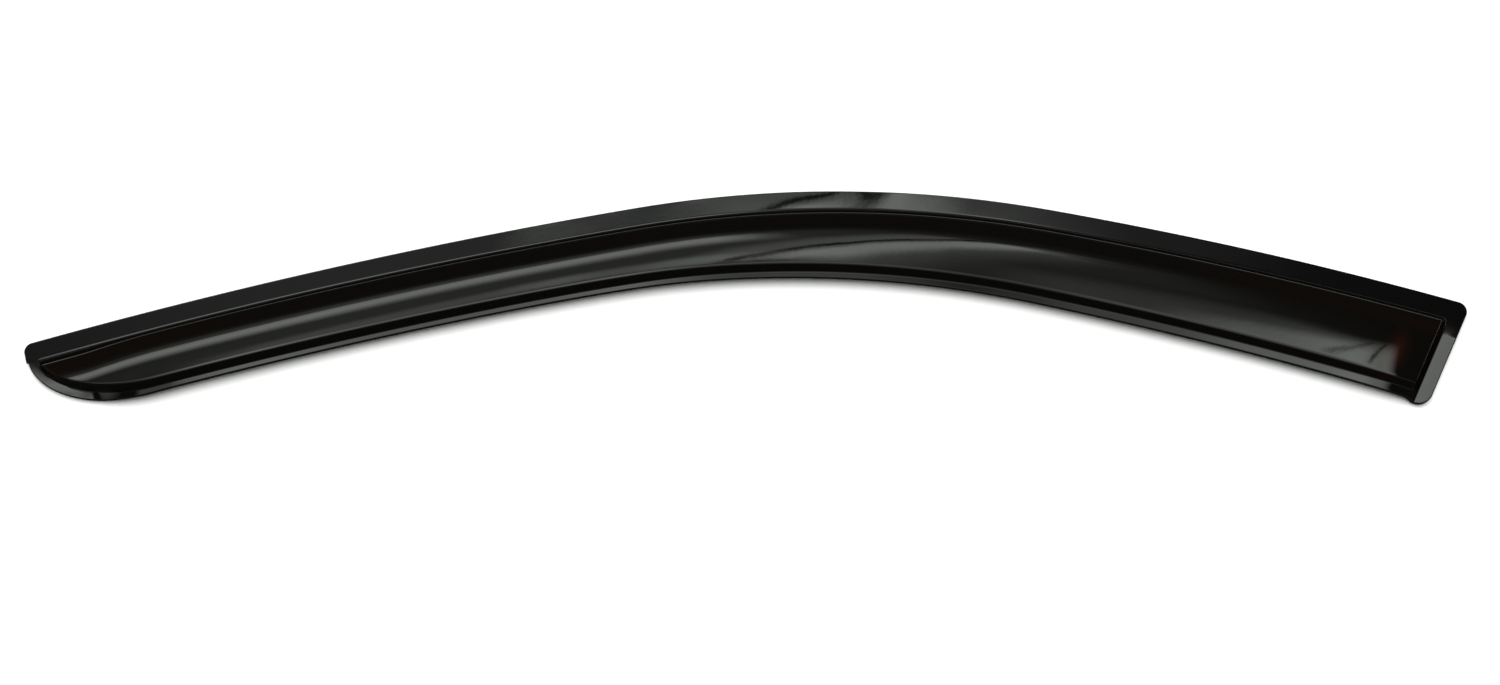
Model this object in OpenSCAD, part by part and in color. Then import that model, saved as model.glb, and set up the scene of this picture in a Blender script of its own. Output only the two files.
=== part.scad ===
// Window rain deflector for a front side window: one formed sheet of smoke
// acrylic, with a foam tape and its peel-off liner under the mounting flange.
//
// Every place on the sheet has a station s, measured along the bent top edge
// from the nose, and a depth q, measured square to that edge. The section is
// laid out flat in s and q and then bent along the top edge.

/* [Top edge] */
// Length of the top edge from the nose to the rear end
edge_length = 1132.5; // [1050:0.5:1180]
// Heading of the top edge where it leaves the nose, in degrees
nose_heading = 17; // [12:0.5:20]
// Length of the nearly straight front run
front_run = 482; // [400:1:560]
// Radius of the front run
front_radius = 4150; // [2500:50:9000]
// Length of the crown, where the top edge turns over
crown_run = 328; // [200:1:360]
// Radius of the crown
crown_radius = 890; // [700:5:1200]
// Radius of the rear run
rear_radius = 3000; // [2000:50:9000]

/* [Outline] */
// Depth of the sheet in its front half
front_depth = 67.4; // [62:0.2:80]
// Extra depth gained by the rear end
rear_flare = 21.8; // [0:0.2:30]
// Station where the depth begins to grow
flare_start = 469; // [300:1:600]
// Length of the rounded nose
nose_length = 91; // [75:1:120]
// Exponent of the nose curve, where 2 is a plain ellipse
nose_fullness = 1.93; // [1.7:0.01:2.3]
// Set-back of the nose curve behind the end of the flange
nose_inset = 1.5; // [0:0.1:3]
// Radius of the flange corner at the nose
nose_corner = 7; // [6:0.5:11]
// Radius of both corners at the rear end
rear_corner = 9.4; // [6:0.2:10]
// Lean of the rear end, in degrees
rear_lean = 10.2; // [6:0.2:16]
// How far the rear tab reaches below the lip
tab_overhang = 1.5; // [0:0.1:3]

/* [Sheet] */
// Thickness of the acrylic sheet
sheet_t = 3; // [2:0.1:3.5]
// Width of the flat mounting flange
flange_w = 15.2; // [15:0.1:18]
// Height of the step up from the flange
step_h = 8; // [6:0.25:10]
// Width taken by the step
step_w = 6.6; // [6:0.1:9]
// Extra step width at the rear end
step_widening = 1; // [0:0.1:3]
// Extra step width at the nose
nose_widening = 2.8; // [0:0.1:4]
// Slope of the panel just inside the step
crest_slope = 0.4; // [0.2:0.02:0.5]
// Slope of the panel at its lower edge, falling outwards
edge_slope = 0.06; // [0:0.01:0.1]
// Distance over which the panel levels out
panel_easing = 12.3; // [8:0.1:18]

/* [Lower edge and ends] */
// Height of the lip above the flange
lip_h = 6.3; // [4:0.1:7]
// Width of the lip in the front half
lip_w = 3.5; // [3:0.1:6]
// Extra lip width at the rear end
lip_widening = 2.8; // [0:0.1:4]
// Width taken by the drop from the panel to the lip
drop_w = 5.5; // [5:0.1:8]
// Width of the flat rim around the nose
nose_rim_w = 6.5; // [5:0.1:8]
// Width taken by the wall behind the nose rim
nose_wall_w = 3.5; // [3:0.1:7]
// Station where the lip begins to rise from the nose rim
lip_start = 47; // [40:1:60]
// Length over which the lip rises
lip_rise = 58; // [40:1:90]
// Width of the rear tab
tab_w = 11; // [10:0.5:16]
// Width taken by the wall in front of the tab
tab_wall_w = 6; // [5:0.1:8]
// Upward slope of the rear tab and the nose rim towards their outer edges
tab_slope = 0.09; // [0:0.01:0.12]

/* [Tape] */
// Width of the foam tape
tape_w = 12.7; // [9:0.1:13]
// Thickness of the foam tape
tape_t = 1.1; // [0.8:0.1:1.6]
// Thickness of the peel-off liner
liner_t = 0.2; // [0.1:0.05:0.3]
// Distance of the tape from the top edge and from the flange corners
tape_margin = 1.3; // [0.8:0.1:2]

/* [Mesh] */
// Steps along the nose
nose_steps = 38; // [20:1:60]
// Steps along the body
body_steps = 46; // [30:1:60]
// Steps across the panel
panel_steps = 8; // [6:1:12]

/* [Hidden] */

smoke = "#1d1e1d";
foam = "#3a3b3c";
liner_red = "#b3261e";
sheet_base = liner_t + tape_t;
lean = tan(rear_lean);
// Depth at which a leaning line has its own station
lean_depth = 50;
lean_start = edge_length - 280;
lean_full = edge_length - 50;
swell = (crest_slope + edge_slope) * panel_easing;
tip_depth = flange_w - 0.5;
tab_foot = edge_length - tab_w / cos(rear_lean);
tab_crest = tab_foot - tab_wall_w / cos(rear_lean);
// How far the walls move inwards from the outer face to the inner one
wall_shift = sheet_t * tan(28);
// How gently the lip and the flare begin
softness = 0.06;
// Part of the depth below the tip that the lowest bands may take at the nose
crowding = 0.8;
// Part of its height that the lip loses at the rear end
lip_end_drop = 0.4;

// Limit a value to the range from 0 to 1
function unit(v) = max(0, min(1, v));

// Ramp from 0 to 1 with a rounded foot and crest
function ramp(v, round_part = 0.2) =
    v <= 0 ? 0
    : v >= 1 ? 1
    : v < round_part ? v * v / (2 * round_part * (1 - round_part))
    : v > 1 - round_part ? 1 - (1 - v) * (1 - v) / (2 * round_part * (1 - round_part))
    : (v - round_part / 2) / (1 - round_part);

// Value that bends gently from 0 to a rising line
function soft_start(v) = (v + sqrt(v * v + softness * softness)) / 2;

// Growth from 0 at flare_start to 1 at the rear end
function growth(s) =
    let (v = unit(soft_start((s - flare_start) / (edge_length - flare_start))))
    v * (3 - v) / 2;

// Rise of the lip from 0 on the nose rim to 1 along the body
function lip_growth(s) =
    let (v = unit(soft_start((s - lip_start) / lip_rise)))
    v * (2 - v);

// Depth of the sheet, first without the rounded nose and corners, then with them
function full_depth(s) = front_depth + rear_flare * growth(s);
function nose_across(s) = unit((nose_length - s) / (nose_length - nose_inset));
function corner_drop(v, radius) =
    v >= radius ? 0 : radius - sqrt(max(0, radius * radius - (radius - v) * (radius - v)));
function lower_edge(s) =
    tip_depth
    + (full_depth(s) - tip_depth) * pow(1 - pow(nose_across(s), nose_fullness), 1 / nose_fullness)
    + tab_overhang * unit((s - tab_crest) / (tab_foot - tab_crest))
    - corner_drop(edge_length - s, rear_corner);
function upper_edge(s) =
    corner_drop(s, nose_corner) + corner_drop(edge_length - s, rear_corner);

// Distance inwards from the lower edge and the nose
function rim_distance(s, q) =
    let (
        depth = full_depth(s) - tip_depth,
        u = nose_across(s),
        v = max(0.001, (q - tip_depth) / depth),
        g = pow(u, nose_fullness) + pow(v, nose_fullness),
        steepness = norm([
            pow(u, nose_fullness - 1) / (nose_length - nose_inset),
            pow(v, nose_fullness - 1) / depth
        ]),
        scale = pow(g, 1 / nose_fullness)
    )
    (1 - scale) / scale * g / steepness;

// Widths of the bands beside the lower edge
function lip_band(s) =
    lip_w + (nose_rim_w - lip_w) * (1 - lip_growth(s)) + lip_widening * growth(s);
function drop_band(s) = drop_w + (nose_wall_w - drop_w) * (1 - lip_growth(s));
function step_band(s) = step_w + step_widening * growth(s) + nose_widening * (1 - lip_growth(s));

// Height of the outer face above the flange; a shift moves every wall inwards
function height(s, q, shift = 0) =
    let (
        inside = max(0, q - flange_w - step_band(s) - shift),
        from_rear = max(0, tab_crest - shift - s),
        rear_ease = 1 - exp(-from_rear / panel_easing),
        panel = step_h + (swell * (1 - exp(-inside / panel_easing)) - edge_slope * inside) * rear_ease,
        from_rim = rim_distance(s, q),
        rim = lip_band(s) + shift,
        lip = lip_growth(s) * (lip_h - edge_slope * (rim - from_rim))
            * (1 - lip_end_drop * (1 - rear_ease)),
        body = lip + (panel - lip) * ramp((from_rim - rim) / drop_band(s)),
        top_step = ramp((q - flange_w - shift) / step_band(s)),
        rear_step = ramp((tab_foot - shift - s) / (tab_foot - tab_crest)),
        below_fold = unit((q - flange_w) / flange_w),
        tab_lift = tab_slope * max(0, s - tab_foot) * cos(rear_lean),
        rim_lift = tab_slope * max(0, nose_rim_w - from_rim) * (1 - lip_growth(s))
    )
    body * top_step * rear_step + (tab_lift + rim_lift) * below_fold;

// Bending along the top edge: each arc starts where the one before it ends
function turned(heading, radius, run) = heading - run / radius * 180 / PI;
function arc_point(start, heading, radius, run) =
    let (after = turned(heading, radius, run))
    start + radius * [sin(heading) - sin(after), cos(after) - cos(heading)];
crown_heading = turned(nose_heading, front_radius, front_run);
rear_heading = turned(crown_heading, crown_radius, crown_run);
crown_start = arc_point([0, 0], nose_heading, front_radius, front_run);
rear_start = arc_point(crown_start, crown_heading, crown_radius, crown_run);
rear_station = front_run + crown_run;

function edge_heading(s) =
    s < front_run ? turned(nose_heading, front_radius, s)
    : s < rear_station ? turned(crown_heading, crown_radius, s - front_run)
    : turned(rear_heading, rear_radius, s - rear_station);
function edge_point(s) =
    s < front_run ? arc_point([0, 0], nose_heading, front_radius, s)
    : s < rear_station ? arc_point(crown_start, crown_heading, crown_radius, s - front_run)
    : arc_point(rear_start, rear_heading, rear_radius, s - rear_station);
function plan_point(s, q) =
    let (
        leaning = unit((s - lean_start) / (lean_full - lean_start)),
        station = s - lean * leaning * (q - lean_depth),
        heading = edge_heading(station)
    )
    edge_point(station) + q * [sin(heading), -cos(heading)];

// Stations of the cross lines, closer together at the nose and the rear end
stations = concat(
    [for (i = [0 : nose_steps - 1]) nose_length * (1 - cos(90 * i / nose_steps))],
    [for (i = [0 : body_steps - 1])
        nose_length + (tab_crest - 5 * panel_easing - nose_length) * i / body_steps],
    [for (i = [10 : -1 : 1]) tab_crest - panel_easing * i / 2],
    [for (i = [0, 0.2, 0.5, 0.8]) tab_crest + (tab_foot - tab_crest) * i],
    [tab_foot, (tab_foot + edge_length - rear_corner) / 2],
    [for (i = [0 : 5]) edge_length - rear_corner * (1 - sin(18 * i))]
);

// Depths of the long lines at one station: flange, step, panel, drop and lip
function depths(s) =
    let (
        top = upper_edge(s),
        low = lower_edge(s),
        squeeze = unit((low - top) / (2 * flange_w)),
        foot = top + (flange_w - top) * squeeze,
        crest = foot + step_band(s) * squeeze,
        slant = (lower_edge(s + 0.5) - lower_edge(s)) / 0.5,
        stretch = s > nose_length ? 1 : min(2.5, norm([1, slant])),
        bands = (lip_band(s) + drop_band(s)) * stretch,
        fit = min(1, crowding * (low - crest) / bands) * stretch,
        lip_foot = low - lip_band(s) * fit,
        drop_crest = lip_foot - drop_band(s) * fit
    )
    concat(
        [top, (top + foot) / 2],
        [for (v = [0, 0.2, 0.5, 0.8]) foot + (crest - foot) * v],
        [for (v = [0 : 1 / panel_steps : 0.999]) crest + (drop_crest - crest) * v],
        [for (v = [0, 0.2, 0.5, 0.8]) drop_crest + (lip_foot - drop_crest) * v],
        [lip_foot, low]
    );

net = [for (s = stations) [for (q = depths(s)) [s, q]]];
cross_lines = len(net);
long_lines = len(net[0]);
plan_net = [for (line = net) for (p = line) plan_point(p[0], p[1])];
plan_xs = [for (p = plan_net) p[0]];
plan_ys = [for (p = plan_net) p[1]];
// The origin lies on the ground under the middle of the part's own box
middle = [(min(plan_xs) + max(plan_xs)) / 2, (min(plan_ys) + max(plan_ys)) / 2];

outer_face = [for (line = net) for (p = line)
    concat(plan_point(p[0], p[1]) - middle, sheet_base + sheet_t + height(p[0], p[1]))];
inner_face = [for (line = net) for (p = line)
    concat(plan_point(p[0], p[1]) - middle, sheet_base + height(p[0], p[1], wall_shift))];

function at(i, j) = i * long_lines + j;
function pair(a, b, c, d) = [[a, b, c], [a, c, d]];
inner_start = cross_lines * long_lines;
last_i = cross_lines - 1;
last_j = long_lines - 1;
sheet_faces = concat(
    [for (i = [0 : last_i - 1]) for (j = [0 : last_j - 1])
        each pair(at(i, j), at(i, j + 1), at(i + 1, j + 1), at(i + 1, j))],
    [for (i = [0 : last_i - 1]) for (j = [0 : last_j - 1])
        each pair(inner_start + at(i, j), inner_start + at(i + 1, j),
            inner_start + at(i + 1, j + 1), inner_start + at(i, j + 1))],
    [for (i = [0 : last_i - 1])
        each pair(at(i, 0), at(i + 1, 0), inner_start + at(i + 1, 0), inner_start + at(i, 0))],
    [for (i = [0 : last_i - 1])
        each pair(at(i + 1, last_j), at(i, last_j),
            inner_start + at(i, last_j), inner_start + at(i + 1, last_j))],
    [for (j = [0 : last_j - 1])
        each pair(at(0, j + 1), at(0, j), inner_start + at(0, j), inner_start + at(0, j + 1))],
    [for (j = [0 : last_j - 1])
        each pair(at(last_i, j), at(last_i, j + 1),
            inner_start + at(last_i, j + 1), inner_start + at(last_i, j))]
);

// Flat strip that follows the flange, between two stations
module flange_strip(from_station, to_station, thickness) {
    strip_steps = 110;
    runs = [for (i = [0 : strip_steps]) from_station + (to_station - from_station) * i / strip_steps];
    upper = [for (s = runs) plan_point(s, tape_margin) - middle];
    lower = [for (i = [strip_steps : -1 : 0]) plan_point(runs[i], tape_margin + tape_w) - middle];
    linear_extrude(thickness) polygon(concat(upper, lower));
}

// Formed acrylic sheet with flange, step, bulged panel, lip, nose rim and rear tab
module deflector() {
    color(smoke) polyhedron(points = concat(outer_face, inner_face), faces = sheet_faces);
}

// Double-sided foam tape along the underside of the flange
module foam_tape() {
    color(foam) translate([0, 0, liner_t])
        flange_strip(nose_corner, edge_length - rear_corner, tape_t);
}

// Thin liner that covers the adhesive until the part is fitted
module peel_off_liner() {
    color(liner_red) flange_strip(nose_corner, edge_length - rear_corner, liner_t);
}

deflector();
foam_tape();
peel_off_liner();
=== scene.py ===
# %% [markdown]
# # Window rain deflector
#
# A rain deflector is one sheet of smoke acrylic, heated and drawn over a form. It has
# a flat flange that is taped to the door frame, a step up, a panel that bulges over the
# window, and a lip along the free edge. Air gets out under the panel and rain stays out.
#
# It has no pattern and next to no colour. What the eye reads is the shape of the
# reflections, so the two things that matter are a smooth, exact surface and the lamps
# that it mirrors.

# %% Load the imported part
import math

import bpy
import numpy as np
from mathutils import Matrix, Vector


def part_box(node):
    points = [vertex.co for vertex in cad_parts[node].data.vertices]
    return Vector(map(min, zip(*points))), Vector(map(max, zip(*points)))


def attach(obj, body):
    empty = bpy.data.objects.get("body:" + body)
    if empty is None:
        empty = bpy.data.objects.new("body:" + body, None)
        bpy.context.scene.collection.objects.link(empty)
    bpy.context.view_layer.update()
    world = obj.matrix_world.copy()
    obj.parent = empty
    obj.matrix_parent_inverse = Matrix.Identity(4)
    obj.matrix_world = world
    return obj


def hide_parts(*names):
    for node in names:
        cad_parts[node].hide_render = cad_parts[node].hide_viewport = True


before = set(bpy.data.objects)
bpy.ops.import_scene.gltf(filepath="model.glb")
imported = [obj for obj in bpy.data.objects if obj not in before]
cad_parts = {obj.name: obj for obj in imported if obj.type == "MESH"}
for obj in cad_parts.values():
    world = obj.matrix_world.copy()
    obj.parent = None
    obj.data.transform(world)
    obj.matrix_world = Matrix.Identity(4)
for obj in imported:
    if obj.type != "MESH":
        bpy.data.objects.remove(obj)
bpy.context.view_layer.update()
MM = 0.001

# %% [markdown]
# ## Two small helpers
#
# Blender works in linear light, while colours are usually picked as sRGB hex values, so
# one function turns the one into the other. The second adds a node to any node tree,
# sets its options and joins its inputs, so that each line below reads as one node.


# %% Colour and node helpers
def linear(hex_colour):
    """An sRGB hex colour as linear red, green, blue and alpha."""
    parts = [int(hex_colour[i : i + 2], 16) / 255 for i in (1, 3, 5)]
    return [p / 12.92 if p <= 0.04045 else ((p + 0.055) / 1.055) ** 2.4 for p in parts] + [1.0]


def add(tree, kind, *values, **settings):
    """Adds a node and gives back its first output, or the node where it has none.

    The values go to the inputs in order, and a dict at the end goes to inputs by name.
    A value that is another node's output is joined to the input.
    """
    node = tree.nodes.new(kind)
    for name, value in settings.items():
        setattr(node, name, value)
    named = values[-1] if values and isinstance(values[-1], dict) else {}
    in_order = values[:-1] if named else values
    for name, value in (dict(enumerate(in_order)) | named).items():
        if isinstance(value, bpy.types.NodeSocket):
            tree.links.new(value, node.inputs[name])
        else:
            node.inputs[name].default_value = value
    return next((output for output in node.outputs if output.enabled), node)


print("a middle grey in linear light:", round(linear("#808080")[0], 3))

# %% [markdown]
# ## The sizes of the sheet
#
# Every place on the sheet has a station, measured along the bent top edge from the
# nose, and a depth, measured square to that edge. In these two coordinates the sheet is
# a straight strip, which makes the section easy to write down. The sizes are those of
# the construction model, in millimetres. Four differ a little, because the photograph's
# reflections ask for it: the slopes of the tab and of the nose rim, the depth over which
# the rim comes up to its slope, and how tightly the sheet turns at the drop.

# %% Sizes in millimetres
EDGE_LENGTH = 1132.5
FRONT_DEPTH, REAR_FLARE, FLARE_START = 67.4, 21.8, 469.0
NOSE_LENGTH, NOSE_FULLNESS, NOSE_INSET = 91.0, 1.93, 1.5
NOSE_CORNER, REAR_CORNER, REAR_LEAN = 7.0, 9.4, math.radians(10.2)
SHEET, FLANGE = 3.0, 15.2
STEP_HEIGHT, STEP_WIDTH, STEP_WIDENING, NOSE_WIDENING = 8.0, 6.6, 1.0, 2.8
CREST_SLOPE, EDGE_SLOPE, EASING = 0.4, 0.06, 12.3
LIP_HEIGHT, LIP_WIDTH, LIP_WIDENING, DROP_WIDTH = 6.3, 3.5, 2.8, 5.5
NOSE_RIM, NOSE_WALL, LIP_START, LIP_RISE = 6.5, 3.5, 47.0, 58.0
TAB_WIDTH, TAB_WALL, TAB_OVERHANG = 11.0, 6.0, 1.5
TAB_SLOPE, RIM_SLOPE, RIM_REACH = 0.115, 0.075, 35.0
TAPE_WIDTH, TAPE, LINER, TAPE_MARGIN = 12.7, 1.1, 0.2, 1.3
BASE = TAPE + LINER
TIP_INSET = 0.5
TIP_DEPTH = FLANGE - TIP_INSET
TAB_FOOT = EDGE_LENGTH - TAB_WIDTH / math.cos(REAR_LEAN)
TAB_CREST = TAB_FOOT - TAB_WALL / math.cos(REAR_LEAN)
print("tab crest and foot at", round(TAB_CREST, 1), round(TAB_FOOT, 1), "mm")


# %% Outline of the sheet
def unit(v):
    return np.clip(v, 0.0, 1.0)


def soft_start(v, softness=0.06):
    """Bends gently from 0 to a rising line."""
    return (v + np.sqrt(v * v + softness * softness)) / 2


def growth(s):
    """Rises from 0 where the sheet begins to widen to 1 at its rear end."""
    v = unit(soft_start((s - FLARE_START) / (EDGE_LENGTH - FLARE_START)))
    return v * (3 - v) / 2


def full_depth(s):
    return FRONT_DEPTH + REAR_FLARE * growth(s)


def nose_across(s):
    return unit((NOSE_LENGTH - s) / (NOSE_LENGTH - NOSE_INSET))


def corner_drop(v, radius):
    return radius - np.sqrt(radius**2 - (radius - np.clip(v, 0, radius)) ** 2)


def lower_edge(s):
    nose = (1 - nose_across(s) ** NOSE_FULLNESS) ** (1 / NOSE_FULLNESS)
    tab = TAB_OVERHANG * unit((s - TAB_CREST) / (TAB_FOOT - TAB_CREST))
    corner = corner_drop(EDGE_LENGTH - s, REAR_CORNER)
    return TIP_DEPTH + (full_depth(s) - TIP_DEPTH) * nose + tab - corner


def upper_edge(s):
    return corner_drop(s, NOSE_CORNER) + corner_drop(EDGE_LENGTH - s, REAR_CORNER)


for station in (300.0, 1100.0):
    print("depth at station", station, "is", round(float(lower_edge(station)), 1))


# %% Distance from the lower edge
def rim_distance(s, q):
    """How far a place lies inside the lower edge and the rounded nose."""
    depth = full_depth(s) - TIP_DEPTH
    u, v = nose_across(s), np.maximum(0.001, (q - TIP_DEPTH) / depth)
    level = u**NOSE_FULLNESS + v**NOSE_FULLNESS
    steepness = np.hypot(
        u ** (NOSE_FULLNESS - 1) / (NOSE_LENGTH - NOSE_INSET), v ** (NOSE_FULLNESS - 1) / depth
    )
    scale = level ** (1 / NOSE_FULLNESS)
    return (1 - scale) / scale * level / steepness


def lip_growth(s):
    """The lip rises out of the flat rim that goes round the nose."""
    v = unit(soft_start((s - LIP_START) / LIP_RISE))
    return v * (2 - v)


def lip_band(s):
    return LIP_WIDTH + (NOSE_RIM - LIP_WIDTH) * (1 - lip_growth(s)) + LIP_WIDENING * growth(s)


def drop_band(s):
    return DROP_WIDTH + (NOSE_WALL - DROP_WIDTH) * (1 - lip_growth(s))


def step_band(s):
    return STEP_WIDTH + STEP_WIDENING * growth(s) + NOSE_WIDENING * (1 - lip_growth(s))


for station in (300.0, 1100.0):
    print("lip width at station", station, "is", round(float(lip_band(station)), 1))

# %% [markdown]
# ## The section of the sheet
#
# A sheet that is drawn over a form has no sharp folds: each wall starts and ends in a
# round. The function below gives the height of the outer face above the flange. The
# panel leaves its crest steeply and levels out, as hot plastic does when it is held at
# its rim and pushed up by air. The inner face is the same function with its walls
# moved inwards by a part of the thickness.

# %% Height of the sheet
WALL_ROUNDING, DROP_ROUNDING = 0.2, 0.12
LIP_AT_REAR_WALL = 0.6
WALL_LEAN = math.radians(28)
WALL_SHIFT = SHEET * math.tan(WALL_LEAN)


def ramp(v, rounding=WALL_ROUNDING):
    """From 0 to 1 with a rounded foot and crest."""
    curve = 2 * rounding * (1 - rounding)
    rise = np.where(v < rounding, v * v / curve, (v - rounding / 2) / (1 - rounding))
    rise = np.where(v > 1 - rounding, 1 - (1 - v) ** 2 / curve, rise)
    return np.where(v <= 0, 0.0, np.where(v >= 1, 1.0, rise))


def height(s, q, shift=0.0):
    swell = (CREST_SLOPE + EDGE_SLOPE) * EASING
    inside = np.maximum(0, q - FLANGE - step_band(s) - shift)
    rear_ease = 1 - np.exp(-np.maximum(0, TAB_CREST - shift - s) / EASING)
    bulge = swell * (1 - np.exp(-inside / EASING)) - EDGE_SLOPE * inside
    panel = STEP_HEIGHT + bulge * rear_ease
    from_rim, rim = rim_distance(s, q), lip_band(s) + shift
    lip = lip_growth(s) * (LIP_HEIGHT - EDGE_SLOPE * (rim - from_rim))
    lip = lip * (LIP_AT_REAR_WALL + (1 - LIP_AT_REAR_WALL) * rear_ease)
    body = lip + (panel - lip) * ramp((from_rim - rim) / drop_band(s), DROP_ROUNDING)
    steps = ramp((q - FLANGE - shift) / step_band(s))
    steps = steps * ramp((TAB_FOOT - shift - s) / (TAB_FOOT - TAB_CREST))
    tab_rise = TAB_SLOPE * np.maximum(0, s - TAB_FOOT) * math.cos(REAR_LEAN)
    rim_rise = RIM_SLOPE * np.maximum(0, NOSE_RIM - from_rim) * (1 - lip_growth(s))
    rises = tab_rise * unit((q - FLANGE) / FLANGE) + rim_rise * unit((q - FLANGE) / RIM_REACH)
    return body * steps + rises


print("panel height in the middle:", round(float(height(500.0, 50.0)), 2), "mm above the flange")

# %% [markdown]
# ## A net that follows the shape
#
# A mirror-like surface shows every flaw of its mesh, so the rows are not spread evenly.
# They run along the flange, the step, the panel, the drop and the lip, and crowd where
# the surface turns. Next to the outline there are a few rows within a millimetre, which
# carry the small round of the polished edge.

# %% Stations along the sheet
NOSE_STEPS, BODY_STEPS, EASE_STEPS, TAB_STEPS, CORNER_STEPS = 90, 236, 30, 4, 20
WALL_SHARES = np.array([
    0, 0.04, 0.08, 0.12, 0.16, 0.21, 0.3, 0.45, 0.6, 0.72, 0.8, 0.84, 0.87, 0.9, 0.93, 0.96, 0.985
])
turn_angles = np.radians(90 * np.arange(NOSE_STEPS) / NOSE_STEPS)
EASE_REACH = 5 * EASING
ease_start = TAB_CREST - EASE_REACH
corner_angles = np.radians(np.linspace(0, 90, CORNER_STEPS))
stations = np.concatenate([
    NOSE_LENGTH * (1 - np.cos(turn_angles)),
    np.linspace(NOSE_LENGTH, ease_start, BODY_STEPS, endpoint=False),
    np.linspace(ease_start, TAB_CREST, EASE_STEPS),
    TAB_FOOT - (TAB_FOOT - TAB_CREST) * WALL_SHARES[:0:-1],
    np.linspace(TAB_FOOT, EDGE_LENGTH - REAR_CORNER, TAB_STEPS, endpoint=False),
    EDGE_LENGTH - REAR_CORNER * (1 - np.sin(corner_angles)),
])
print(len(stations), "stations, always rising:", bool((np.diff(stations) > 0).all()))

# %% Where the section turns at each station
SLANT_STEP, MOST_STRETCH, BANDS_SHARE = 0.5, 2.5, 0.8
top, low = upper_edge(stations), lower_edge(stations)
squeeze = unit((low - top) / (2 * FLANGE))
foot = top + (FLANGE - top) * squeeze
crest = foot + step_band(stations) * squeeze
slant = (lower_edge(stations + SLANT_STEP) - low) / SLANT_STEP
# the outline runs askew at the nose, so a band is deeper there when measured square to the top edge
stretch = np.where(stations > NOSE_LENGTH, 1.0, np.minimum(MOST_STRETCH, np.hypot(1, slant)))
bands = (lip_band(stations) + drop_band(stations)) * stretch
fit = np.minimum(1, BANDS_SHARE * (low - crest) / bands) * stretch
lip_foot = low - lip_band(stations) * fit
drop_crest = lip_foot - drop_band(stations) * fit
print("the drop is", round(float((lip_foot - drop_crest).max()), 1), "mm deep where it is widest")

# %% Depths of the rows at each station
EDGE_ROWS = np.array([0.0, 0.05, 0.15, 0.3, 0.5, 0.9])
EDGE_ROOM, LIP_ROOM = 8, 3
PANEL_ROWS, PANEL_CROWDING = 30, 1.4
FLANGE_SHARES, LIP_SHARES = [0.12, 0.3, 0.55, 0.75, 0.9], [0, 0.2, 0.45, 0.7, 0.88]


def rows(start, end, shares):
    return start[:, None] + (end - start)[:, None] * np.asarray(shares)[None, :]


flange_edge = top[:, None] + EDGE_ROWS * np.minimum(1, (foot - top) / EDGE_ROOM)[:, None]
lip_shrink = stretch * np.minimum(1, (low - lip_foot) / LIP_ROOM)
lip_edge = low[:, None] - EDGE_ROWS[::-1] * lip_shrink[:, None]
depths = np.concatenate([
    flange_edge,
    rows(flange_edge[:, -1], foot, FLANGE_SHARES),
    rows(foot, crest, WALL_SHARES),
    rows(crest, drop_crest, (np.arange(PANEL_ROWS) / PANEL_ROWS) ** PANEL_CROWDING),
    rows(drop_crest, lip_foot, WALL_SHARES),
    rows(lip_foot, lip_edge[:, 0], LIP_SHARES),
    lip_edge,
], axis=1)
net_s = np.repeat(stations[:, None], depths.shape[1], axis=1)
print(depths.shape[1], "rows; they never cross:", bool((np.diff(depths, axis=1) > 0).all()))

# %% [markdown]
# ## Lean, edge round and waviness
#
# The rear end leans, so the last stations are shifted in proportion to their depth. The
# edge round needs the true distance from the outline, and that is measured on the
# straight strip. A drawn sheet is never quite flat either. All over its outer face it
# has waves some centimetres long and a few thousandths of a millimetre high. The flange
# has a twist of up to half a millimetre, and the rim round the nose a wave of its own.
# That is too little to see as a shape, but it is what makes a mirrored line swim, and
# what lets the flange mirror a bright part of the room in one place and a dark one in
# the next.

# %% Straight strip with its lean
LEAN_RUN, LEAN_LENGTH, LEAN_DEPTH = 280, 230, 50
leaning = unit((net_s - (EDGE_LENGTH - LEAN_RUN)) / LEAN_LENGTH)
strip_x = net_s - math.tan(REAR_LEAN) * leaning * (depths - LEAN_DEPTH)
flat_plan = np.stack([strip_x, -depths], axis=-1)
outline = np.concatenate([
    flat_plan[:, 0], flat_plan[-1, 1:], flat_plan[-2::-1, -1], flat_plan[0, -2:0:-1]
])
print("outline of", len(outline), "points")

# %% Distance of every point from the outline
EDGE_ROUND, BATCHES = 0.45, 40


def outline_distance(points):
    """Works in batches, because all points against all edges at once needs much memory."""
    a, b = outline, np.roll(outline, -1, axis=0)
    along = b - a
    length2 = np.maximum((along**2).sum(1), 1e-12)
    nearest = []
    for part in np.array_split(points, BATCHES):
        t = unit(((part[:, None] - a) * along).sum(2) / length2)
        gap = part[:, None] - a - t[..., None] * along
        nearest.append(np.sqrt((gap**2).sum(2).min(1)))
    return np.concatenate(nearest)


from_outline = outline_distance(flat_plan.reshape(-1, 2)).reshape(depths.shape)
edge_fall = corner_drop(from_outline, EDGE_ROUND)
print("points on the edge round:", int((from_outline < EDGE_ROUND).sum()))

# %% Waves left by the forming
# each wave has a length and a height in millimetres, a lean and a start
WAVES = [(61.0, 0.005, 0.35, 0.4), (37.0, 0.0015, -0.6, 2.1), (23.0, 0.0006, 0.9, 4.0)]
STILL_MARGIN = 3
waviness = sum(
    size * np.sin(2 * math.pi * (strip_x + lean * depths) / length + start)
    for length, size, lean, start in WAVES
)
waviness = waviness * unit(from_outline / STILL_MARGIN)
print("waves within", round(float(abs(waviness).max()), 3), "mm")

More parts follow.
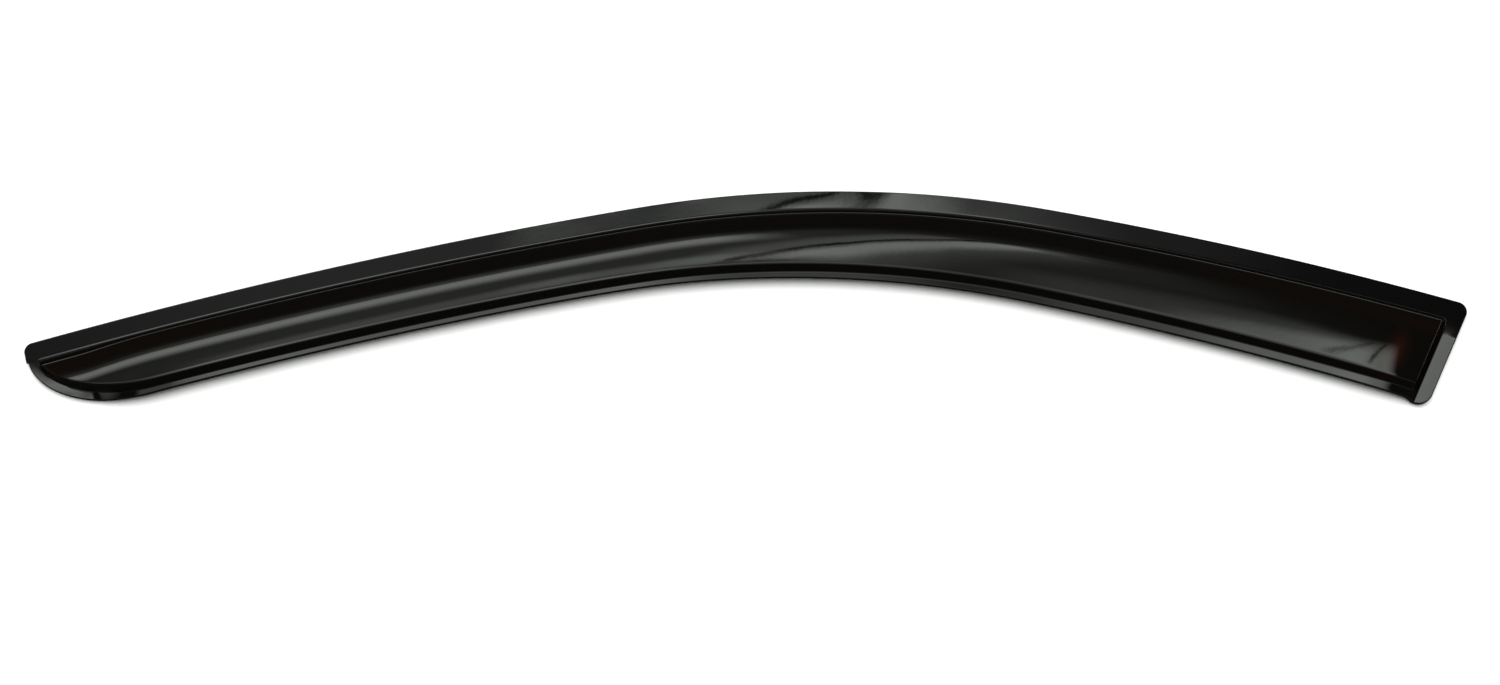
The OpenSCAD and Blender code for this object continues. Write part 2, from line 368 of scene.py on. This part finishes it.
# %% The twist of the flange
# a station, and how far the flange falls there from its outer edge to its foot
FLANGE_FALLS = [
    (0, 0.17), (280, 0.19), (380, 0.4), (540, 0.48), (605, 0.49), (635, 0.32), (650, 0.26),
    (660, 0.12), (670, 0.12), (684, 0.38), (705, 0.33), (740, 0.26), (770, 0.08), (800, 0.0),
    (860, -0.2), (900, -0.25), (1000, 0.0),
]
FALL_BLEND, BLEND_STEPS = 12, 7
FLANGE_CROWN, MARK_CROWN, MARK_PLACE, MARK_REACH = -0.008, 0.07, 620.0, 35.0
flange_share = unit(depths / FLANGE)
fall_places, falls = np.array(FLANGE_FALLS).T
blend = np.linspace(-FALL_BLEND, FALL_BLEND, BLEND_STEPS)
flange_fall = np.mean([np.interp(net_s + offset, fall_places, falls) for offset in blend], axis=0)
crown = FLANGE_CROWN + MARK_CROWN * np.exp(-(((net_s - MARK_PLACE) / MARK_REACH) ** 2))
flange_relief = flange_fall * (1 - flange_share) + 4 * crown * flange_share * (1 - flange_share)
print("flange from", round(float(flange_relief.min()), 2), "to", round(float(flange_relief.max()), 2))

# %% The wave of the nose rim
RIM_WAVE, RIM_WAVE_LENGTH, RIM_FADE = 0.02, 30.0, 6
inside_rim = rim_distance(net_s, depths)
rim_share = unit(1 - inside_rim / NOSE_RIM) * (1 - lip_growth(net_s))
rim_share = rim_share * unit((depths - FLANGE) / RIM_FADE)
rim_relief = RIM_WAVE * rim_share * np.sin(2 * math.pi * (net_s + depths) / RIM_WAVE_LENGTH)
relief = waviness + flange_relief + rim_relief
print("relief from", round(float(relief.min()), 3), "to", round(float(relief.max()), 3), "mm")

# %% [markdown]
# ## The closed strip
#
# The real sheet has two faces and a cut edge all round. It could be one face with a
# thickness modifier, but the inner face of a drawn sheet isn't parallel to the outer
# one at the walls. So both faces are made from the height function and joined by one
# ring of faces along the outline, which gives a closed shell with all faces outwards.

# %% Closed strip, outer and inner face
outer_z = BASE + SHEET + height(net_s, depths) + relief - edge_fall
inner_z = BASE + height(net_s, depths, WALL_SHIFT) + edge_fall
outer = np.concatenate([flat_plan, outer_z[..., None]], axis=-1).reshape(-1, 3)
inner = np.concatenate([flat_plan, inner_z[..., None]], axis=-1).reshape(-1, 3)
lines, columns = depths.shape
index = np.arange(lines * columns).reshape(lines, columns)
corners = [index[:-1, :-1], index[:-1, 1:], index[1:, 1:], index[1:, :-1]]
quads = np.stack(corners, -1).reshape(-1, 4)
loop = np.concatenate([index[:, 0], index[-1, 1:], index[-2::-1, -1], index[0, -2:0:-1]])
after = np.roll(loop, -1)
wall = np.stack([loop, after, after + len(outer), loop + len(outer)], -1)
sheet_points = np.concatenate([outer, inner]) * MM
sheet_faces = np.concatenate([quads, quads[:, ::-1] + len(outer), wall])
print(len(sheet_points), "points,", len(sheet_faces), "faces")


# %% A mesh from points and faces
def mesh_object(name, points, faces):
    mesh = bpy.data.meshes.new(name)
    mesh.from_pydata(points.tolist(), [], faces.tolist() if hasattr(faces, "tolist") else faces)
    mesh.validate()
    piece = bpy.data.objects.new(name, mesh)
    bpy.context.scene.collection.objects.link(piece)
    return piece


strip_object = mesh_object("smoke_sheet", sheet_points, sheet_faces)
print(strip_object.name, "has", len(strip_object.data.polygons), "faces before it is bent")

# %% [markdown]
# ## Bending along the top edge
#
# The top edge is three tangent arcs: a nearly straight front run, a tighter crown and a
# rear run. Each arc adds its own step to the path, and an arc that a station hasn't
# reached adds nothing, so one rule holds all along. That makes it a good case for
# Geometry Nodes: the tree takes a straight strip and bends it, and the sheet, the tape
# and its liner go through the same tree and so stay in line.

# %% The bending tree
EDGE_PATH = {
    "Nose heading": math.radians(17),
    "Front run": 482 * MM,
    "Front radius": 4150 * MM,
    "Crown run": 328 * MM,
    "Crown radius": 890 * MM,
    "Rear run": 400 * MM,
    "Rear radius": 3000 * MM,
}
bender = bpy.data.node_groups.new("Bend along the top edge", "GeometryNodeTree")
bender.interface.new_socket("Geometry", in_out="INPUT", socket_type="NodeSocketGeometry")
for name in EDGE_PATH:
    bender.interface.new_socket(name, in_out="INPUT", socket_type="NodeSocketFloat")
bender.interface.new_socket("Material", in_out="INPUT", socket_type="NodeSocketMaterial")
bender.interface.new_socket("Geometry", in_out="OUTPUT", socket_type="NodeSocketGeometry")
given = add(bender, "NodeGroupInput").node.outputs
position = add(bender, "GeometryNodeInputPosition")
place = add(bender, "ShaderNodeSeparateXYZ", position).node.outputs
print("inputs of the tree:", list(EDGE_PATH))

# %% One step of the path for each arc
start_heading = heading = given["Nose heading"]
reached, path_x, path_y = place["X"], 0.0, 0.0
for arc in ("Front", "Crown", "Rear"):
    run, radius = given[f"{arc} run"], given[f"{arc} radius"]
    done = add(bender, "ShaderNodeMath", reached, run, operation="MINIMUM")
    if arc != "Front":
        done = add(bender, "ShaderNodeMath", done, 0.0, operation="MAXIMUM")
    turned = add(bender, "ShaderNodeMath", done, radius, operation="DIVIDE")
    end_heading = add(bender, "ShaderNodeMath", start_heading, turned, operation="SUBTRACT")
    sine_before = add(bender, "ShaderNodeMath", start_heading, operation="SINE")
    sine_after = add(bender, "ShaderNodeMath", end_heading, operation="SINE")
    cosine_before = add(bender, "ShaderNodeMath", start_heading, operation="COSINE")
    cosine_after = add(bender, "ShaderNodeMath", end_heading, operation="COSINE")
    across = add(bender, "ShaderNodeMath", sine_before, sine_after, operation="SUBTRACT")
    upward = add(bender, "ShaderNodeMath", cosine_after, cosine_before, operation="SUBTRACT")
    path_x = add(bender, "ShaderNodeMath", across, radius, path_x, operation="MULTIPLY_ADD")
    path_y = add(bender, "ShaderNodeMath", upward, radius, path_y, operation="MULTIPLY_ADD")
    heading = add(bender, "ShaderNodeMath", heading, turned, operation="SUBTRACT")
    whole_turn = add(bender, "ShaderNodeMath", run, radius, operation="DIVIDE")
    start_heading = add(bender, "ShaderNodeMath", start_heading, whole_turn, operation="SUBTRACT")
    reached = add(bender, "ShaderNodeMath", reached, run, operation="SUBTRACT")
print(len(bender.nodes), "nodes so far")

# %% Square to the path, then the finish
sine = add(bender, "ShaderNodeMath", heading, operation="SINE")
cosine = add(bender, "ShaderNodeMath", heading, operation="COSINE")
back = add(bender, "ShaderNodeMath", place["Y"], sine, operation="MULTIPLY")
bent_x = add(bender, "ShaderNodeMath", path_x, back, operation="SUBTRACT")
bent_y = add(bender, "ShaderNodeMath", place["Y"], cosine, path_y, operation="MULTIPLY_ADD")
bent_place = add(bender, "ShaderNodeCombineXYZ", bent_x, bent_y, place["Z"])
bent = {"Geometry": given["Geometry"], "Position": bent_place}
moved = add(bender, "GeometryNodeSetPosition", bent)
smooth = add(bender, "GeometryNodeSetShadeSmooth", moved)
real = add(bender, "GeometryNodeRealizeInstances", smooth)
covered = {"Geometry": real, "Material": given["Material"]}
finished = add(bender, "GeometryNodeSetMaterial", covered)
add(bender, "NodeGroupOutput", finished)
print(len(bender.nodes), "nodes in the whole tree")


# %% Put a strip through the tree
def bend(strip, material):
    """Bends a straight strip and leaves a plain mesh with its place in its points."""
    modifier = strip.modifiers.new("bend", "NODES")
    modifier.node_group = bender
    for item in bender.interface.items_tree:
        if item.in_out == "INPUT" and item.name in EDGE_PATH:
            modifier[item.identifier] = EDGE_PATH[item.name]
        elif item.name == "Material":
            modifier[item.identifier] = material
    depsgraph = bpy.context.evaluated_depsgraph_get()
    plain = bpy.data.meshes.new_from_object(strip.evaluated_get(depsgraph), depsgraph=depsgraph)
    strip.modifiers.clear()
    strip.data = plain
    return strip


print("sizes of the path in metres:", [round(v, 3) for v in EDGE_PATH.values()])

# %% [markdown]
# ## Smoke acrylic
#
# The sheet is extruded acrylic, PMMA, tinted so dark that it looks black. Its surface
# came from the polished roll and was only touched by warm air when it was formed, so it
# is nearly a mirror: refractive index 1.49 and very low roughness. Three small things
# keep it from looking like painted metal. A trace of deep red-brown light comes through
# where the sheet is drawn thin, at the shoulder and near the rear end, and it is painted
# into the colour as a glow; over the tape the colour is painted plain black, as shade. The
# roll and the forming leave a faint orange peel, some millimetres wide and a few
# thousandths of a millimetre high, with a finer grain in it. And handling leaves hazy
# patches, where the mirror is a little less sharp. The two masks for this painted light
# and shade are stored in the points of the mesh, because they follow the shape; the peel
# and the haze are noise in the object's own coordinates.

# %% The colour of the acrylic
smoke = bpy.data.materials.new("extruded_smoke_acrylic")
smoke.use_nodes = True
smoke_tree = smoke.node_tree
smoke_tree.nodes.clear()
tape_shade_mask = add(smoke_tree, "ShaderNodeAttribute", attribute_name="painted_tape_shade").node.outputs["Fac"]
painted_glow = add(smoke_tree, "ShaderNodeAttribute", attribute_name="painted_light_through").node.outputs["Fac"]
# the red-brown colour is painted light, the glow of light coming through the bare sheet, mixed into the
# near-black acrylic by its mask
by_painted_glow = {"Factor": painted_glow, "A": linear("#060504"), "B": linear("#2e1007")}
tint_with_painted_glow = add(smoke_tree, "ShaderNodeMix", by_painted_glow, data_type="RGBA")
# over the tape the glow is painted out to plain black, as painted shade where the tape stops the light
by_tape_shade = {"Factor": tape_shade_mask, "A": tint_with_painted_glow, "B": linear("#050505")}
tint = add(smoke_tree, "ShaderNodeMix", by_tape_shade, data_type="RGBA")
print("made the tint of", smoke.name)

# %% The polish of the acrylic
PEEL_WIDTH, PEEL_HEIGHT = 3.5 * MM, 0.0035 * MM
GRAIN_WIDTH, GRAIN_HEIGHT = 0.8 * MM, 0.0012 * MM
HAZE_WIDTH, HAZE_DETAIL, SKIN_DETAIL = 45 * MM, 4.0, 1.0
HAZE_FROM, HAZE_TO, SHARPEST, HAZIEST = 0.35, 0.7, 0.015, 0.05
ACRYLIC_IOR = 1.49
spot = add(smoke_tree, "ShaderNodeTexCoord").node.outputs["Object"]
patches = {"Vector": spot, "Scale": 1 / HAZE_WIDTH, "Detail": HAZE_DETAIL}
haze = add(smoke_tree, "ShaderNodeTexNoise", patches)
sharpness = add(smoke_tree, "ShaderNodeMapRange", haze, HAZE_FROM, HAZE_TO, SHARPEST, HAZIEST)
peel_size = {"Vector": spot, "Scale": 1 / PEEL_WIDTH, "Detail": SKIN_DETAIL}
peel = add(smoke_tree, "ShaderNodeTexNoise", peel_size)
grain_size = {"Vector": spot, "Scale": 1 / GRAIN_WIDTH, "Detail": SKIN_DETAIL}
grain = add(smoke_tree, "ShaderNodeTexNoise", grain_size)
skin = add(smoke_tree, "ShaderNodeBump", {"Height": peel, "Distance": PEEL_HEIGHT})
skin = add(smoke_tree, "ShaderNodeBump", {"Height": grain, "Distance": GRAIN_HEIGHT, "Normal": skin})
gloss = {"Base Color": tint, "Roughness": sharpness, "IOR": ACRYLIC_IOR, "Normal": skin}
acrylic_surface = add(smoke_tree, "ShaderNodeBsdfPrincipled", gloss)
add(smoke_tree, "ShaderNodeOutputMaterial", acrylic_surface)
print("made", smoke.name, "with", len(smoke_tree.nodes), "nodes")

# %% [markdown]
# ## The sheet in its place
#
# The path starts at the nose, while the part's origin is in the middle of its box. So
# the bent sheet is moved, in its points and not as an object, until its box is centred
# on the box of the construction model's sheet. The same move then serves the tape.

# %% Bend the sheet and set it where the CAD node is
sheet = bend(strip_object, smoke)
cad_sheet_low, cad_sheet_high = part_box("deflector")
bent_points = np.array([v.co for v in sheet.data.vertices])
middle = (bent_points.min(0) + bent_points.max(0)) / 2
to_the_middle = [(cad_sheet_low[i] + cad_sheet_high[i]) / 2 - middle[i] for i in (0, 1)]
into_place = Matrix.Translation(to_the_middle + [0])
sheet.data.transform(into_place)
print("moved by", [round(v, 4) for v in to_the_middle], "m")

# %% Where the tape is behind the sheet
TAPE_FADE = 2
# the mask of painted shade: where the tape stops the light coming through, the sheet is painted plain
# black
painted_tape_shade = sheet.data.attributes.new("painted_tape_shade", "FLOAT", "POINT")
both_depths = np.concatenate([depths.ravel(), depths.ravel()])
painted_tape_shade.data.foreach_set("value", unit((FLANGE - both_depths) / TAPE_FADE + 0.5))
print("points on the flange:", int((both_depths < FLANGE).sum()))

# %% Where light coming through the sheet is painted into its colour
# the painted glow: the shoulder, more so at the nose and the rear end, and a spot before the rear wall
ALONG, AT_NOSE, AT_REAR = 0.1, 0.7, 0.4
NOSE_FADE, REAR_START, REAR_FADE = 70, 900, 200
SHOULDER_PLACE, SHOULDER_REACH, SHOULDER_START, SHOULDER_LIGHT = 7, 6, -3, 0.12
SPOT_RETREAT, SPOT_LENGTH, SPOT_DEPTH, SPOT_HEIGHT, SPOT_LIGHT = 23, 6, 60, 14, 0.5
past_crest = depths - FLANGE - step_band(net_s)
at_ends = ALONG + AT_NOSE * np.exp(-net_s / NOSE_FADE)
at_ends = at_ends + AT_REAR * unit((net_s - REAR_START) / REAR_FADE)
shoulder = at_ends * np.exp(-(((past_crest - SHOULDER_PLACE) / SHOULDER_REACH) ** 2))
shoulder = shoulder * (past_crest > SHOULDER_START)
spot_along = (TAB_CREST - SPOT_RETREAT - net_s) / SPOT_LENGTH
spot_down = (depths - SPOT_DEPTH) / SPOT_HEIGHT
rear_spot = np.exp(-(spot_along**2) - spot_down**2)
through = unit(SHOULDER_LIGHT * shoulder + SPOT_LIGHT * rear_spot).ravel()
painted_light_through = sheet.data.attributes.new("painted_light_through", "FLOAT", "POINT")
painted_light_through.data.foreach_set("value", np.concatenate([through, through]))
print("strongest light through the sheet:", round(float(through.max()), 2))

# %% [markdown]
# ## Tape and liner
#
# Under the flange runs a double-sided foam tape, and until the part is fitted a thin
# red film covers its adhesive. Both are straight strips with slightly rounded edges
# that go through the same bending tree.

# %% Straight strips for tape and liner
STRIP_STEPS, TAPE_ROUND, LINER_ROUND = 300, 0.12, 0.06


def strip(name, low_z, high_z, rounding):
    """A closed strip under the flange, from one flange corner to the other."""
    runs = np.linspace(NOSE_CORNER, EDGE_LENGTH - REAR_CORNER, STRIP_STEPS)
    near, far = TAPE_MARGIN, TAPE_MARGIN + TAPE_WIDTH
    profile = []
    for q, z, first in ((near, high_z, 180), (far, high_z, 90), (far, low_z, 0), (near, low_z, 270)):
        inward_q = rounding if q == near else -rounding
        inward_z = rounding if z == low_z else -rounding
        for turn in (0, 30, 60, 90):
            a = math.radians(first - turn)
            round_q, round_z = rounding * math.cos(a), rounding * math.sin(a)
            profile.append((q + inward_q + round_q, z + inward_z + round_z))
    count = len(profile)
    points = np.array([(s, -q, z) for s in runs for q, z in profile]) * MM
    last_start = (len(runs) - 1) * count
    faces = []
    for start in range(0, last_start, count):
        for j in range(count):
            here, beside = start + j, start + (j + 1) % count
            faces.append((here, beside, beside + count, here + count))
    first_end, last_end = range(count), range(last_start, last_start + count)
    faces += [tuple(first_end)[::-1], tuple(last_end)]
    return mesh_object(name, points, faces)


tape_strip = strip("foam_tape_strip", LINER, BASE, TAPE_ROUND)
liner_strip = strip("red_liner_film", 0.0, LINER, LINER_ROUND)
print(len(tape_strip.data.polygons), "faces in each strip")

# %% [markdown]
# ## Foam and film
#
# The tape is closed-cell polyethylene foam, die-cut, so its sides are matt and show the
# cut cells as fine pits, 0.35 mm wide here, which is a little coarser than the real
# ones so that they show. Voronoi cells give both their bump and a painted shade that
# darkens their hollows. The liner is polypropylene film, cast smooth and dyed red. It is
# satin, and pulling it off its roll leaves long shallow ripples across it.

# %% The foam material
CELL_WIDTH, CELL_DEPTH = 0.35 * MM, 0.08 * MM
CELL_MIDDLE, CELL_WALL = 0.1, 0.6
SKIN_ROUGHNESS, HOLLOW_ROUGHNESS, FOAM_IOR = 0.82, 0.96, 1.5
foam = bpy.data.materials.new("closed_cell_foam")
foam.use_nodes = True
foam_tree = foam.node_tree
foam_tree.nodes.clear()
spot = add(foam_tree, "ShaderNodeTexCoord").node.outputs["Object"]
cells = add(foam_tree, "ShaderNodeTexVoronoi", {"Vector": spot, "Scale": 1 / CELL_WIDTH})
hollow = add(foam_tree, "ShaderNodeMapRange", cells, CELL_MIDDLE, CELL_WALL, 1.0, 0.0)
# the darker colour is painted shade in the hollows of the cut cells; the lighter one is the foam
painted_pit_shade = {"Factor": hollow, "A": linear("#3b3c3d"), "B": linear("#1d1e1f")}
foam_colour = add(foam_tree, "ShaderNodeMix", painted_pit_shade, data_type="RGBA")
matt = add(foam_tree, "ShaderNodeMapRange", hollow, 0.0, 1.0, SKIN_ROUGHNESS, HOLLOW_ROUGHNESS)
pits = add(foam_tree, "ShaderNodeBump", {"Height": cells, "Distance": CELL_DEPTH})
foam_look = {"Base Color": foam_colour, "Roughness": matt, "IOR": FOAM_IOR, "Normal": pits}
foam_surface = add(foam_tree, "ShaderNodeBsdfPrincipled", foam_look)
add(foam_tree, "ShaderNodeOutputMaterial", foam_surface)
print("made", foam.name)

# %% The film material
RIPPLE_WIDTH, RIPPLE_HEIGHT, RIPPLE_STRETCH = 9 * MM, 0.06 * MM, 0.3
RIPPLE_FROM, RIPPLE_TO = 0.3, 0.7
SATIN_SHARP, SATIN_DULL, FILM_IOR = 0.28, 0.42, 1.49
film = bpy.data.materials.new("cast_red_film")
film.use_nodes = True
film_tree = film.node_tree
film_tree.nodes.clear()
spot = add(film_tree, "ShaderNodeTexCoord").node.outputs["Object"]
across_film = {"Vector": spot, "Scale": (1.0, RIPPLE_STRETCH, RIPPLE_STRETCH)}
stretched = add(film_tree, "ShaderNodeMapping", across_film)
ripple = add(film_tree, "ShaderNodeTexNoise", {"Vector": stretched, "Scale": 1 / RIPPLE_WIDTH})
dye = {"Factor": ripple, "A": linear("#9c1a13"), "B": linear("#b4261b")}
film_colour = add(film_tree, "ShaderNodeMix", dye, data_type="RGBA")
satin = add(film_tree, "ShaderNodeMapRange", ripple, RIPPLE_FROM, RIPPLE_TO, SATIN_SHARP, SATIN_DULL)
ripples = add(film_tree, "ShaderNodeBump", {"Height": ripple, "Distance": RIPPLE_HEIGHT})
film_look = {"Base Color": film_colour, "Roughness": satin, "IOR": FILM_IOR, "Normal": ripples}
film_surface = add(film_tree, "ShaderNodeBsdfPrincipled", film_look)
add(film_tree, "ShaderNodeOutputMaterial", film_surface)
print("made", film.name)

# %% Bend the tape and the liner
tape = bend(tape_strip, foam)
liner = bend(liner_strip, film)
for piece in (tape, liner):
    piece.data.transform(into_place)
print("bent", tape.name, "and", liner.name)

# %% [markdown]
# ## Riding on the part
#
# Nothing on this object moves, so all three pieces ride on its one body. Each takes the
# place of one solid of the construction model, which is hidden.

# %% The pieces ride on the part's one body
for piece, node, slot in (
    (sheet, "deflector", "smoke_acrylic"),
    (tape, "foam_tape", "foam_tape"),
    (liner, "peel_off_liner", "liner_film"),
):
    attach(piece, "root")
    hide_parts(node)
print("pieces:", [piece.name for piece in (sheet, tape, liner)])

# %% [markdown]
# ## Camera
#
# The photograph was taken from well above the front of the part, at 71 degrees above
# the horizon. Its perspective fits a normal lens at 1.7 metres.

# %% The camera
ELEVATION, DISTANCE = math.radians(71), 1.695
LENS, SENSOR = 52.8, 36.0
look_at = Vector((0.00162, -0.03682, 0.0))
eye = look_at + DISTANCE * Vector((0, -math.cos(ELEVATION), math.sin(ELEVATION)))
camera = bpy.data.objects.new("camera", bpy.data.cameras.new("camera"))
camera.data.lens, camera.data.sensor_width = LENS, SENSOR
camera.location = eye
camera.rotation_mode = "QUATERNION"
camera.rotation_quaternion = (look_at - eye).to_track_quat("-Z", "Y")
bpy.context.scene.collection.objects.link(camera)
bpy.context.scene.camera = camera
print("camera at", [round(v, 3) for v in camera.location])

# %% [markdown]
# ## Floor and lamp
#
# The floor is plain and pale, like a sheet of studio paper, and lies a hair below the
# part. It is lit by one sun lamp, nearly overhead and a little to the back, so wide that
# its shadows are soft. Both are kept out of the reflections, because the glossy sheet
# gets a room of its own.

# %% Floor and overhead lamp
FLOOR_REACH, FLOOR_GAP, FLOOR_ROUGHNESS = 20.0, 0.0002, 0.9
SUN_STRENGTH, SUN_WIDTH, SUN_TILT = 3.8, math.radians(75), math.radians(-18)
floor_corners = ((-1, -1), (1, -1), (1, 1), (-1, 1))
floor_points = np.array([(x * FLOOR_REACH, y * FLOOR_REACH, -FLOOR_GAP) for x, y in floor_corners])
floor = mesh_object("floor", floor_points, [(0, 1, 2, 3)])
paint = bpy.data.materials.new("pale_studio_floor")
paint.use_nodes = True
paper = paint.node_tree.nodes["Principled BSDF"].inputs
paper["Base Color"].default_value = linear("#f6f6f5")
paper["Roughness"].default_value = FLOOR_ROUGHNESS
floor.data.materials.append(paint)
floor.visible_glossy = False
lamp = bpy.data.objects.new("overhead_lamp", bpy.data.lights.new("overhead_lamp", "SUN"))
lamp.data.energy, lamp.data.angle = SUN_STRENGTH, SUN_WIDTH
lamp.rotation_euler = (SUN_TILT, 0, 0)
lamp.visible_glossy = False
bpy.context.scene.collection.objects.link(lamp)
print("floor and lamp are in place")

# %% [markdown]
# ## The mirrored studio
#
# A glossy black sheet shows its surroundings more than itself. They could be built from
# lamp objects, but each would have to be placed by trial. Here the world's background
# is drawn as a dark studio by two angles in degrees: how far sideways a mirrored ray
# goes, and how far it tilts to the back. Each lamp is a soft bar with a place, a turn
# and faded edges. A gap is a dark line across the lamps, as between two panels. Pale
# windows stand lower down on all sides, so that the sheet also reads as glossy from
# there. The table behind goes on below the horizon and lights the crest of the step as
# a thin line, and a small lamp far to the right does the same for the rear wall.

# %% Lamps, gaps and the dark of the room
# name, sideways, tilt, turn, half length, half width, fade at the ends, below and above, strength
LAMPS = [
    ("upper band", -10.0, 25.7, 12.5, 8.5, 0.6, 2.6, 4.5, 2.2, 3.0),
    ("upper glow", -11.0, 28.3, 12.5, 8.5, 0.8, 3.0, 2.0, 3.5, 0.25),
    ("upper glow left", -16.0, 21.8, 12.5, 3.5, 0.7, 5.0, 1.8, 2.5, 0.4),
    ("diagonal core", 4.7, 22.2, 58, 4.8, 0.3, 2.4, 1.5, 0.7, 2.1),
    ("diagonal glow", 3.2, 21.9, 58, 5.2, 1.0, 2.6, 4.5, 2.2, 1.0),
    ("diagonal end", 8.4, 27.4, 58, 0.8, 0.2, 2.0, 2.4, 0.8, 0.5),
    ("lower band left", -8.5, 16.2, 19, 3.0, 0.3, 3.0, 1.2, 1.6, 0.8),
    ("lower band right", -1.8, 17.6, -2, 2.4, 0.3, 2.2, 0.9, 1.5, 1.1),
    ("lower left", -6.8, 11.3, 6, 4.8, 2.7, 2.0, 3.0, 1.3, 2.0),
    ("nose side", -17.0, 10.0, 6, 6.0, 2.5, 3.0, 3.0, 2.0, 0.9),
    ("far left", -41.0, 20.0, 0, 5.0, 9.0, 6.0, 6.0, 6.0, 0.9),
    ("lower middle", 5.5, 9.0, 0, 5.5, 3.0, 2.5, 5.0, 2.5, 0.7),
    ("lower right", 15.9, 9.5, -5, 1.0, 3.3, 3.8, 8.0, 3.8, 2.4),
    ("lower right glow", 10.0, 11.0, 0, 2.5, 4.0, 3.0, 3.0, 3.5, 0.5),
    ("lip side right", 12.6, 12.5, 0, 0.8, 1.2, 3.2, 3.0, 1.6, 1.3),
    ("lip side middle", 0.0, 12.5, 0, 1.5, 1.2, 3.5, 3.0, 2.0, 0.75),
    ("right glow", 9.5, 23.5, 0, 1.2, 3.0, 4.0, 5.0, 4.0, 0.15),
    ("left room", -6.0, 22.0, 0, 4.0, 6.0, 12.0, 3.5, 5.0, 0.33),
    ("room", -4.0, 15.0, 0, 12.0, 14.0, 12.0, 10.0, 8.0, 0.09),
    ("lamp at the side", 90.0, 0.0, 0, 2.5, 181.0, 2.0, 1.0, 1.0, 4.5),
    ("table behind", 0.0, 101.0, 0, 50.0, 11.0, 10.0, 4.0, 4.0, 1.3),
    ("back window", 0.0, 73.0, 0, 60.0, 7.0, 12.0, 5.0, 5.0, 0.2),
    ("front window", 0.0, -32.0, 0, 35.0, 14.0, 15.0, 9.0, 9.0, 0.35),
    ("front left window", -47.0, -62.0, 0, 10.0, 14.0, 12.0, 9.0, 8.0, 0.5),
    ("front right window", 47.0, -62.0, 0, 10.0, 14.0, 12.0, 9.0, 8.0, 0.5),
    ("left window", -74.0, 8.0, 0, 7.0, 40.0, 8.0, 15.0, 15.0, 0.4),
    ("right window", 72.0, 44.0, 0, 7.0, 22.0, 8.0, 9.0, 12.0, 0.4),
]
GAPS = [
    ("gap up", 3.3, 22.4, 57.5, 6.0, 0.13, 1.0, 0.25, 0.25, 0.95),
    ("gap left", -2.6, 16.2, 4, 3.0, 0.15, 2.0, 0.35, 0.35, 0.7),
    ("gap right", 16.3, 14.0, 50, 1.6, 0.12, 0.8, 0.15, 0.15, 0.9),
    ("second gap right", 14.6, 14.2, 45, 1.5, 0.06, 0.8, 0.2, 0.2, 0.55),
]
DIM_ROOM = 0.03
print(len(LAMPS), "soft lamps and", len(GAPS), "gaps")

# %% Directions as two angles
studio = bpy.data.worlds.new("dark_studio")
bpy.context.scene.world = studio
studio.use_nodes = True
room = studio.node_tree
room.nodes.clear()
direction = add(room, "ShaderNodeTexCoord").node.outputs["Generated"]
look = add(room, "ShaderNodeSeparateXYZ", direction).node.outputs
up_squared = add(room, "ShaderNodeMath", look["Z"], look["Z"], operation="MULTIPLY")
away_squared = add(room, "ShaderNodeMath", look["Y"], look["Y"], up_squared, operation="MULTIPLY_ADD")
away = add(room, "ShaderNodeMath", away_squared, operation="SQRT")
sideways = add(room, "ShaderNodeMath", look["X"], away, operation="ARCTAN2")
tilted = add(room, "ShaderNodeMath", look["Y"], look["Z"], operation="ARCTAN2")
radians = add(room, "ShaderNodeCombineXYZ", sideways, tilted)
angles = add(room, "ShaderNodeVectorMath", radians, (math.degrees(1),) * 3, operation="MULTIPLY")
print("directions in degrees:", len(room.nodes), "nodes")


# %% A soft bar of light in that studio
def soft_bar(x, tilt, turn, length, width, ends, below, above, strength):
    """A bar of light with soft edges; all sizes in degrees."""
    turned = (0, 0, math.radians(turn))
    own = add(room, "ShaderNodeMapping", angles, (x, tilt, 0), turned, vector_type="TEXTURE")
    along, across = add(room, "ShaderNodeSeparateXYZ", own).node.outputs[:2]
    along = add(room, "ShaderNodeMath", along, operation="ABSOLUTE")
    light = strength
    for value, dark, bright in (
        (along, length + ends, length), (across, -width - below, -width), (across, width + above, width)
    ):
        fade = add(room, "ShaderNodeMapRange", value, dark, bright, interpolation_type="SMOOTHSTEP")
        light = add(room, "ShaderNodeMath", fade, light, operation="MULTIPLY")
    return light


brightness = DIM_ROOM
for lamp_name, *bar_sizes in LAMPS:
    bar = soft_bar(*bar_sizes)
    bar.node.label = lamp_name
    brightness = add(room, "ShaderNodeMath", bar, brightness, operation="ADD")
for gap_name, *bar_sizes in GAPS:
    left_over = add(room, "ShaderNodeMath", 1.0, soft_bar(*bar_sizes), operation="SUBTRACT")
    left_over.node.label = gap_name
    brightness = add(room, "ShaderNodeMath", brightness, left_over, operation="MULTIPLY")
print("the studio has", len(room.nodes), "nodes")

# %% A plain pale world for the camera
# where a low view passes the floor, it sees plain pale air instead of the lamps
PALE = 1.0
seen = add(room, "ShaderNodeLightPath").node.outputs["Is Camera Ray"]
shown = add(room, "ShaderNodeMix", {"Factor": seen, "A": brightness, "B": PALE})
backdrop = add(room, "ShaderNodeBackground", linear("#f2f8f2"), shown)
add(room, "ShaderNodeOutputWorld", backdrop)
print("the whole world has", len(room.nodes), "nodes")

# %% [markdown]
# ## The picture
#
# The plain colour transform keeps blacks black and the paper white, as in a product
# photograph, where a filmic one would lift the darks to grey.

# %% The look of the picture
bpy.context.scene.view_settings.view_transform = "Standard"
print("plain colour transform")
